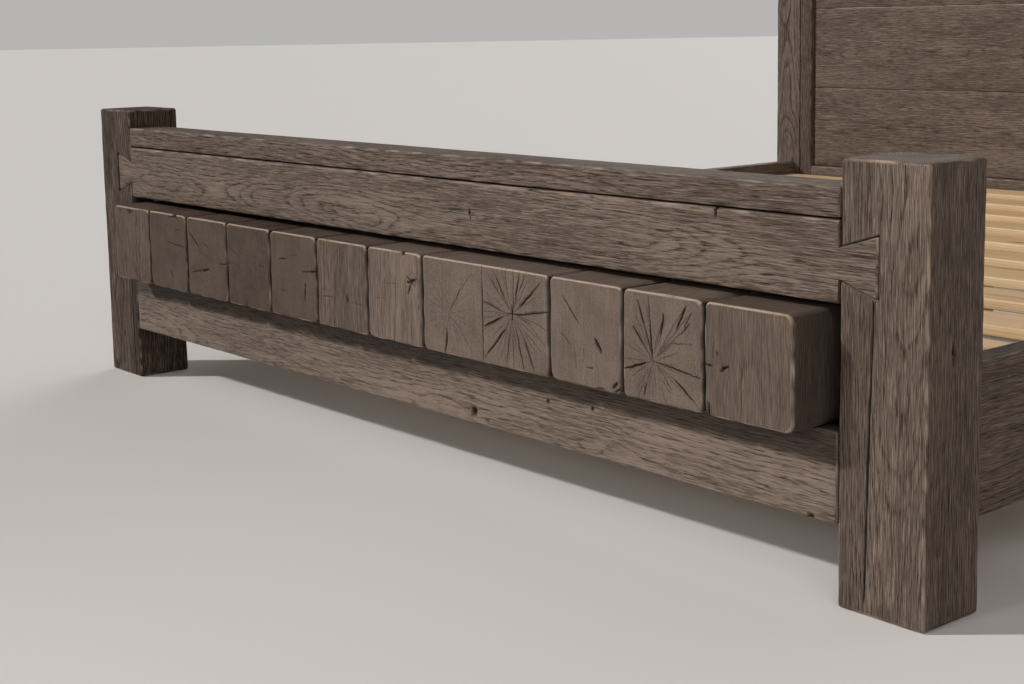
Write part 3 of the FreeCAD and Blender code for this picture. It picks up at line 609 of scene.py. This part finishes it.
# grooves down the posts' fronts where the staves meet: (from the inner edge, height), in millimetres
postSeams = {("footboard", "right"): [(51, 390), (49, 300), (46, 200), (44, 110), (42, 20)],
             ("footboard", "left"): [(23, 205), (23, 110), (22, 4)],
             ("headboard", "right"): [(47, 1160), (46, 800), (48, 400), (45, 30)],
             ("headboard", "left"): [(40, 1160), (42, 700), (41, 300), (43, 30)]}
# the last size darkens the stave beside the groove, partly its own tone and partly painted shade
seamSizes = {"width": 3.6, "depth": 2.0, "dense": 1.2 * mm, "beside": 5 * mm, "shadeAndTone": 0.22}
# on the outer side face: a slot-shaped knot and a thin check, in millimetres from the front and the floor
postKnots = [(50, 343, 50, 325, 7, 5), (46, 175, 47, 127, 2.4, 2)]
# how much lighter or darker each post is; the far left footboard post is painted much darker as painted shade
# for the dimmer far end, the rest are small shifts of tone
postLift = {("footboard", "left"): -0.34, ("footboard", "right"): -0.05, ("headboard", "left"): -0.08,
            ("headboard", "right"): -0.05}


def seamGouges(seam, side):
    return [(side * x0, z0, side * x1, z1, seamSizes["width"], seamSizes["depth"])
            for (x0, z0), (x1, z1) in zip(seam, seam[1:])]


def darkenStave(piece, inner, seam, face, amount):
    # the stave between the inner edge and the groove is a little darker: partly its own tone, partly painted
    # shade standing in for the end block's shadow on the footboard's right post
    points = readPoints(piece.data)
    values = readAttribute(piece.data, "check")
    heights = [z * mm for x, z in reversed(seam)]
    reach = np.interp(points[:, 2], heights, [x * mm for x, z in reversed(seam)])
    within = (np.abs(points[:, 0] - inner) < reach) & (np.abs(points[:, 1] - face) < carveSizes["reach"])
    writeAttribute(piece.data, "check", np.where(within, np.maximum(values, amount), values))


def makePost(board, word, side, seed):
    node = f"{board}_post_{word}"
    low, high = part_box(node)
    plankLow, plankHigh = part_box(f"{board}_dovetail_plank")
    inner = high.x if side < 0 else low.x
    seam = postSeams[board, word]
    places = [inner + side * x * mm for x, z in seam]
    denseX = (min(places) - seamSizes["beside"], max(places) + seamSizes["beside"], seamSizes["dense"])
    knotted = (board, word) == ("footboard", "right")
    start, end, close = postSizes["knotBand"]
    denseSide = [(low.y + start, low.y + end, close)] if knotted else []
    spacing = (postSizes["spacing"],) * 3
    piece = hewnBeam(f"{board}_oak_post_{word}", low, high, postSizes["ease"], spacing, seed,
                     dense=([denseX], denseSide, ()))
    darkenStave(piece, inner, seam, low.y, seamSizes["shadeAndTone"])
    carve(piece, seamGouges(seam, side), 1, low.y, inner, 0, 1, seed, taper=0.0, wobble=0.25)
    if knotted:
        carve(piece, postKnots, 0, high.x, low.y, 0, -1, seed)
    middle = plankLow.z + plankSizes["rise"]
    cutAway(piece, socketCutter("socket", inner, side, low.y, plankHigh.y - plankLow.y, middle))
    pithX = (low.x + high.x) / 2 + postSizes["pithAside"] * side
    pithY = (low.y + high.y) / 2 + postSizes["pithBack"]
    wood = oakWood(f"{board}_post_{word}_oak", "z", (pithX, pithY), postSizes["ringWidth"],
                   postSizes["rings"], seed=seed * 0.37, sway=postSizes["sway"], lift=postLift[board, word])
    show(piece, wood, f"{board}_oak", node)


for board, seed in (("footboard", 21), ("headboard", 61)):
    makePost(board, "left", -1, seed)
    makePost(board, "right", 1, seed + 9)
print("posts done")


# boards that run across the bed between the posts

def spanOf(board):
    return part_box(f"{board}_post_left")[1].x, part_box(f"{board}_post_right")[0].x


boardSizes = {"shoulder": 0.5 * mm, "ease": 3.5 * mm, "spacing": (12 * mm, 9 * mm, 6 * mm),
              "ringWidth": 2.6 * mm, "pithDrop": 50 * mm, "pithBack": 70 * mm}


def paintShadowBand(piece, top, seed, reach, ragged, soft, amount):
    # painted shadow: a ragged band along the top is darkened where the proud blocks above shade it
    points = readPoints(piece.data)
    depth = reach + ragged * waves(points, seed + 5, 0.05)
    shadeAndTone = np.clip((points[:, 2] - top + depth) / soft, 0, 1) * amount
    writeAttribute(piece.data, "check", np.maximum(readAttribute(piece.data, "check"), shadeAndTone))


def makeSpanBoard(name, node, board, seed, drop=0.0, ease=boardSizes["ease"], spacing=boardSizes["spacing"],
                  pithDrop=boardSizes["pithDrop"], pithBack=boardSizes["pithBack"], gouges=(), dense=(),
                  lift=0.0, shadeAndTone=None):
    low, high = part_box(node)
    left, right = spanOf(board)
    shoulder = boardSizes["shoulder"]
    start, end = (left + shoulder, low.y, low.z), (right - shoulder, high.y, high.z - drop)
    piece = hewnBeam(name, start, end, ease, spacing, seed, dense=(dense, (), ()))
    if gouges:
        carve(piece, gouges, 1, low.y, 0, 0, 1, seed)
    if shadeAndTone:
        paintShadowBand(piece, high.z, seed, **shadeAndTone)
    pith = (low.y + pithBack, (low.z + high.z) / 2 - pithDrop)
    wood = oakWood(f"{name}_oak", "x", pith, boardSizes["ringWidth"], seed=seed * 0.61, lift=lift)
    show(piece, wood, f"{board}_oak", node)


def knotHoles(holes):
    # round holes left by knots: (across, up, width, depth), in millimetres, each one very short gouge
    return [(x, z - 1, x + 1, z + 1, width, depth) for x, z, width, depth in holes]


def closeBands(places, beside):
    # the stretches on either side of the given places where the cuts stand close
    return [((x - beside) * mm, (x + beside) * mm, 1.6 * mm) for x in places]


railHoles = [(203, 124, 15, 7), (380, 170, 6, 3), (477, 176, 6, 3), (878, 106, 12, 4), (-410, 206, 5, 2)]
plankHoles = [(716, 484, 7, 6), (717, 474, 4, 3), (203, 439, 5, 2)]
plankChecks = [(203, 448, 204, 424, 2, 1.6), (716, 486, 717, 470, 4, 4)]
plankKnots = [(0.56, 0.352, 0.030, 2), (0.203, 0.436, 0.003, 2)]      # along, up, size, and the axis of up
coarse = (20 * mm,) * 3
makeSpanBoard("footboard_oak_cap", "footboard_cap_rail", "footboard", 31, pithDrop=30 * mm, pithBack=90 * mm,
              spacing=(10 * mm, 8 * mm, 4 * mm), lift=-0.10)
# the top band of the bottom rail carries a painted shadow of the proud blocks above it
makeSpanBoard("footboard_oak_rail", "footboard_bottom_rail", "footboard", 33, pithBack=100 * mm,
              drop=0.4 * mm, spacing=(10 * mm, 9 * mm, 2.4 * mm), gouges=knotHoles(railHoles), lift=0.12,
              dense=closeBands([x for x, z, width, depth in railHoles], 10),
              shadeAndTone={"reach": 46 * mm, "ragged": 2.5 * mm, "soft": 10 * mm, "amount": 0.55})
makeSpanBoard("footboard_oak_backing", "footboard_backing_board", "footboard", 35, ease=1 * mm,
              spacing=(30 * mm, 15 * mm, 20 * mm))
makeSpanBoard("headboard_oak_cap", "headboard_cap_rail", "headboard", 41)
makeSpanBoard("headboard_oak_rail", "headboard_bottom_rail", "headboard", 43, spacing=coarse)
for number in range(1, 5):
    makeSpanBoard(f"headboard_oak_board_{number}", f"headboard_panel_board_{number}", "headboard",
                  44 + number * 3, ease=3 * mm, spacing=coarse, pithDrop=20 * mm * number - 30 * mm)


def makePlank(board, seed, knots=(), gouges=(), dense=()):
    # the ends of a board are drawn in to a neck and flare out again into the tails
    node = f"{board}_dovetail_plank"
    low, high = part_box(node)
    left, right = spanOf(board)
    top = high.z - plankSizes["gap"]
    piece = hewnBeam(f"{board}_oak_plank", low, (high.x, high.y, top), plankSizes["ease"],
                     plankSizes["spacing"], seed, dense=(dense, (), ()))
    if gouges:
        carve(piece, gouges, 1, low.y, 0, 0, 1, seed)
    points = readPoints(piece.data)
    middle = low.z + plankSizes["rise"]
    neck, wide = plankSizes["neck"] / 2, plankSizes["tailHigh"] / 2
    bodyHalf = (right - left) / 2 - plankSizes["shoulder"]
    centre = (left + right) / 2
    away = np.abs(points[:, 0] - centre)
    levels = np.unique(np.round(away, 7))
    outermost, first = levels[levels <= bodyHalf][-1], levels[levels > bodyHalf][0]
    sign = np.sign(points[:, 0] - centre)
    moved = ((outermost, bodyHalf - plankSizes["drawn"]), (first, bodyHalf + plankSizes["flush"]))
    for level, place in moved:
        chosen = np.abs(away - level) < 1e-6
        points[chosen, 0] = centre + sign[chosen] * place
    away = np.abs(points[:, 0] - centre)
    share = np.clip((away - bodyHalf) / (high.x - centre - bodyHalf), 0, 1)
    half = neck + (wide - neck) * share
    upShare = (points[:, 2] - low.z) / (top - low.z)
    points[:, 2] = np.where(away > bodyHalf, middle - half + 2 * half * upShare, points[:, 2])
    writePoints(piece.data, points)
    smoothShade(piece.data)
    pith = (low.y + plankSizes["pithBack"], (low.z + high.z) / 2 - plankSizes["pithDrop"])
    wood = oakWood(f"{board}_plank_oak", "x", pith, plankSizes["ringWidth"], seed=seed * 0.61, knots=knots,
                   lift=plankSizes["lift"])
    show(piece, wood, f"{board}_oak", node)


makePlank("footboard", 51, knots=plankKnots, gouges=knotHoles(plankHoles) + plankChecks,
          dense=closeBands((203, 716), 8))
makePlank("headboard", 57)
print("boards done")


# side rails and slats

railSizes = {"ease": 3 * mm, "spacing": (8 * mm, 22 * mm, 8 * mm), "ringWidth": 4.6 * mm, "pithUp": 70 * mm,
             "middle": 19 * mm, "pithInward": 90 * mm}
slatSizes = {"ease": 2.5 * mm, "spacing": (25 * mm, 8 * mm, 6 * mm), "uneven": 0.3 * mm, "wear": 0.4 * mm,
             "pithUnder": 45 * mm, "turn": 30 * mm}
pineTones = {"dark": (0.46, 0.27, 0.12), "mid": (0.62, 0.43, 0.24), "light": (0.72, 0.55, 0.36),
             "knot": (0.20, 0.085, 0.03)}
pineScales = {"sway": (1.3, 5), "knots": (3.1, 11), "fibre": (30, 900), "broad": (2, 12)}
pineShares = {"base": 0.62, "late": 0.42, "fibre": 0.55, "broad": 0.5, "knot": 0.85, "halo": 2.5,
              "swayA": 0.03, "swayB": 0.02, "ringWidth": 3.6 * mm}
pineFinish = {"strength": 0.35, "depth": 0.0005, "late": 0.4, "rough": 0.55, "roughFibre": 0.3}


def pineWood(name, grain, pith, seed=0.0):
    # planed softwood: soft early wood, darker late wood lines and a few small round knots
    g = Graph(name)
    along, first, second, parts = axisParts(g, grain)
    u = along + seed
    a = first - pith[0]
    b = second - pith[1]

    def stretched(key):
        far, near = pineScales[key]
        return g.vector(u * far, a * near, b * near)

    sway = g.noise(stretched("sway"), 1, 2) - 0.5
    knots = g.add("ShaderNodeTexVoronoi", None, {"Vector": stretched("knots"), "Scale": 1.0})
    core = g.ramp(knots, [(0.0, 1.0), (0.07, 0.9), (0.11, 0.0)])
    halo = g.ramp(knots, [(0.0, 1.0), (0.35, 0.0)])
    swayedA, swayedB = a + sway * pineShares["swayA"], b + sway * pineShares["swayB"]
    rings = (swayedA ** 2 + swayedB ** 2) ** 0.5 / pineShares["ringWidth"]
    phase = rings + halo * pineShares["halo"]
    late = g.ramp(phase.fraction(), [(0.0, 0.0), (0.55, 0.15), (0.86, 1.0), (0.94, 0.6), (1.0, 0.0)])
    fibre = g.noise(stretched("fibre"), 1, 3, 0.6) - 0.5
    broad = g.noise(stretched("broad"), 1, 2) - 0.5
    value = pineShares["base"] - late * pineShares["late"] + fibre * pineShares["fibre"]
    value = (value + broad * pineShares["broad"]).clamped()
    colour = g.ramp(value, [(0.0, pineTones["dark"]), (0.5, pineTones["mid"]), (1.0, pineTones["light"])])
    colour = g.mix(core * pineShares["knot"], colour, (*pineTones["knot"], 1))
    relief = {"Strength": pineFinish["strength"], "Distance": pineFinish["depth"],
              "Height": fibre + late * pineFinish["late"]}
    rough = (pineFinish["rough"] + fibre * pineFinish["roughFibre"]).clamped()
    bump = g.add("ShaderNodeBump", None, relief)
    return g.finish({"Base Color": colour, "Roughness": rough, "Normal": bump})


for word, side in (("left", -1), ("right", 1)):
    low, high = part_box(f"side_rail_{word}")
    piece = hewnBeam(f"side_oak_rail_{word}", low, high, railSizes["ease"], railSizes["spacing"], 70 + side)
    pith = (low.x + railSizes["middle"] - side * railSizes["pithInward"], low.z + railSizes["pithUp"])
    wood = oakWood(f"side_oak_{word}", "y", pith, railSizes["ringWidth"], seed=side * 2.3)
    show(piece, wood, "side_rail_oak", f"side_rail_{word}")

slatNodes = sorted(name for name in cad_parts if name.startswith("slat_") and name[5:].isdigit())
for index, node in enumerate(slatNodes):
    low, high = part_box(node)
    piece = hewnBeam(f"pine_{node}", low, high, slatSizes["ease"], slatSizes["spacing"], 80 + index,
                     slatSizes["uneven"], slatSizes["wear"])
    turn = random.Random(index).uniform(-slatSizes["turn"], slatSizes["turn"])
    pith = ((low.y + high.y) / 2 + turn, low.z - slatSizes["pithUnder"])
    show(piece, pineWood(f"{node}_pine", "x", pith, index * 1.37), "slat_softwood", node)
print("side rails and slats done")


# finishes of the parts that stay as designed: softwood bearers, zinc, black steel and the levelling feet

metalSizes = {"broad": 60, "dull": 0.55, "blotch": 2.2, "roughBroad": 0.25, "roughClose": 0.2, "bump": 0.4}


def metal(name, colour, roughness, grainScale, metallic=1.0, depth=0.0002):
    g = Graph(name)
    place = g.add("ShaderNodeTexCoord", None, None, 3)
    broad = g.noise(place, metalSizes["broad"], 3, 0.6) - 0.5
    close = g.noise(place, grainScale, 2, 0.6) - 0.5
    dull = tuple(channel * metalSizes["dull"] for channel in colour)
    shade = g.mix((broad * metalSizes["blotch"] + 0.5).clamped(), (*dull, 1), (*colour, 1))
    bump = g.add("ShaderNodeBump", None, {"Strength": metalSizes["bump"], "Distance": depth, "Height": close})
    rough = broad * metalSizes["roughBroad"] + close * metalSizes["roughClose"] + roughness
    return g.finish({"Base Color": shade, "Metallic": metallic, "Roughness": rough.clamped(), "Normal": bump})


zinc = metal("zinc_plate", (0.62, 0.63, 0.66), 0.38, 700)
blackSteel = metal("black_powder_steel", (0.030, 0.030, 0.032), 0.55, 1400, metallic=0.0, depth=0.0004)
footSteel = metal("foot_steel", (0.45, 0.45, 0.47), 0.32, 900)
bearerGrain = {"slat_cleat_left": "y", "slat_cleat_right": "y", "centre_rail": "y", "centre_leg_foot": "z",
               "centre_leg_middle": "z", "centre_leg_head": "z"}
bearerPith = {"aside": 20 * mm, "under": 30 * mm}
zincNodes = ("block_screws", "cleat_screws", "slat_screws", "plate_screws", "bracket_screws",
             "leg_hanger_bolts", "leg_threaded_inserts")
steelNodes = ("rail_hook_plates", "post_catch_plates", "centre_rail_brackets")
footNodes = ("levelling_foot_foot", "levelling_foot_middle", "levelling_foot_head")


def repaint(node, material):
    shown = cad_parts[node]
    shown.data.materials.clear()
    shown.data.materials.append(material)


for index, (node, grain) in enumerate(bearerGrain.items()):
    low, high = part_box(node)
    level = (low.y + high.y) / 2 if grain == "z" else low.z
    pith = ((low.x + high.x) / 2 + bearerPith["aside"], level - bearerPith["under"])
    repaint(node, pineWood(f"{node}_pine", grain, pith, 20 + index * 1.9))
for nodes, material in ((zincNodes, zinc), (steelNodes, blackSteel), (footNodes, footSteel)):
    for node in nodes:
        repaint(node, material)
print("finishes done")


# floor, light and camera

floorSizes = {"half": 60.0, "colour": (0.66, 0.65, 0.64, 1), "rough": 0.9}


def makeFloor():
    bm = bmesh.new()
    bmesh.ops.create_grid(bm, x_segments=1, y_segments=1, size=floorSizes["half"])
    mesh = bpy.data.meshes.new("floor")
    bm.to_mesh(mesh)
    bm.free()
    floor = bpy.data.objects.new("floor", mesh)
    scene.collection.objects.link(floor)
    g = Graph("floor_paint")
    mesh.materials.append(g.finish({"Base Color": floorSizes["colour"], "Roughness": floorSizes["rough"]}))


makeFloor()

# the key comes from the left of the foot end, the fill from its right, and two broad ones over the head end
lamps = {
    "key": {"from": (-0.90, -1.0, 0.86), "spread": 3.0, "power": 2.6, "colour": (1.0, 0.96, 0.92)},
    "fill": {"from": (1.0, -0.7, 0.9), "spread": 30.0, "power": 0.72, "colour": (1.0, 0.92, 0.85)},
    "over": {"from": (0.20, 0.9, 1.0), "spread": 60.0, "power": 0.3, "colour": (1.0, 0.98, 0.96)},
    "back": {"from": (-0.5, 1.0, 0.35), "spread": 40.0, "power": 1.1, "colour": (1.0, 0.98, 0.96)},
}
for name, lamp in lamps.items():
    data = bpy.data.lights.new(name, "SUN")
    data.energy = lamp["power"]
    data.color = lamp["colour"]
    data.angle = math.radians(lamp["spread"])
    light = bpy.data.objects.new(name, data)
    light.rotation_euler = (-Vector(lamp["from"])).to_track_quat("-Z", "Y").to_euler()
    scene.collection.objects.link(light)

# one narrow soft lamp near the right of the foot end, so that the nearer half is a little brighter
nearLamp = {"place": (0.7, -4.3, 1.5), "aim": (0.75, -1.1, 0.32), "power": 95, "cone": 48, "radius": 0.35,
            "colour": (1.0, 0.96, 0.92)}
spot = bpy.data.lights.new("near", "SPOT")
spot.energy = nearLamp["power"]
spot.color = nearLamp["colour"]
spot.spot_size = math.radians(nearLamp["cone"])
spot.spot_blend = 1.0
spot.shadow_soft_size = nearLamp["radius"]
nearLight = bpy.data.objects.new("near", spot)
lampPlace = Vector(nearLamp["place"])
aimed = (Vector(nearLamp["aim"]) - lampPlace).to_track_quat("-Z", "Y")
nearLight.matrix_world = Matrix.Translation(lampPlace) @ aimed.to_matrix().to_4x4()
scene.collection.objects.link(nearLight)

# the surroundings are paler near the horizon than overhead
skyStops = ((0.02, 0.47), (0.20, 0.11))
skyTint = (1, 0.985, 0.965)
world = bpy.data.worlds.new("studio")
world.use_nodes = True
skyTree = world.node_tree
around = skyTree.nodes.new("ShaderNodeTexCoord")
height = skyTree.nodes.new("ShaderNodeSeparateXYZ")
shades = skyTree.nodes.new("ShaderNodeValToRGB")
skyTree.links.new(around.outputs[0], height.inputs[0])
skyTree.links.new(height.outputs[2], shades.inputs[0])
skyTree.links.new(shades.outputs[0], skyTree.nodes["Background"].inputs[0])
for element, (level, shade) in zip(shades.color_ramp.elements, skyStops):
    element.position = level
    element.color = (*(shade * tint for tint in skyTint), 1)
skyTree.nodes["Background"].inputs[1].default_value = 1.0
scene.world = world
scene.view_settings.view_transform = "Standard"

# the lens is given for a picture 1024 wide, and rise is how far the view is shifted, on the same scale
cameraSizes = {"fromFoot": (2.1538, -1.5421, 0.7278), "yaw": 50.177, "pitch": 8.021, "roll": -1.032,
               "focal": 1624.4, "across": 1024, "rise": 92, "sensor": 36, "farthest": 60}
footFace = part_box("footboard_post_left")[0].y
camera = bpy.data.objects.new("camera", bpy.data.cameras.new("camera"))
scene.collection.objects.link(camera)
yaw, pitch, roll = (math.radians(cameraSizes[key]) for key in ("yaw", "pitch", "roll"))
ahead = Vector((-math.sin(yaw) * math.cos(pitch), math.cos(yaw) * math.cos(pitch), -math.sin(pitch)))
level = Vector((math.cos(yaw), math.sin(yaw), 0))
upward = level.cross(ahead)
right = level * math.cos(roll) + upward * math.sin(roll)
upright = upward * math.cos(roll) - level * math.sin(roll)
turned = Matrix((right, upright, -ahead)).transposed()
stand = Vector(cameraSizes["fromFoot"]) + Vector((0, footFace, 0))
camera.matrix_world = Matrix.Translation(stand) @ turned.to_4x4()
camera.data.sensor_width = cameraSizes["sensor"]
camera.data.lens = cameraSizes["sensor"] * cameraSizes["focal"] / cameraSizes["across"]
camera.data.shift_y = -cameraSizes["rise"] / cameraSizes["across"]
camera.data.clip_end = cameraSizes["farthest"]
scene.camera = camera

print("scene done")
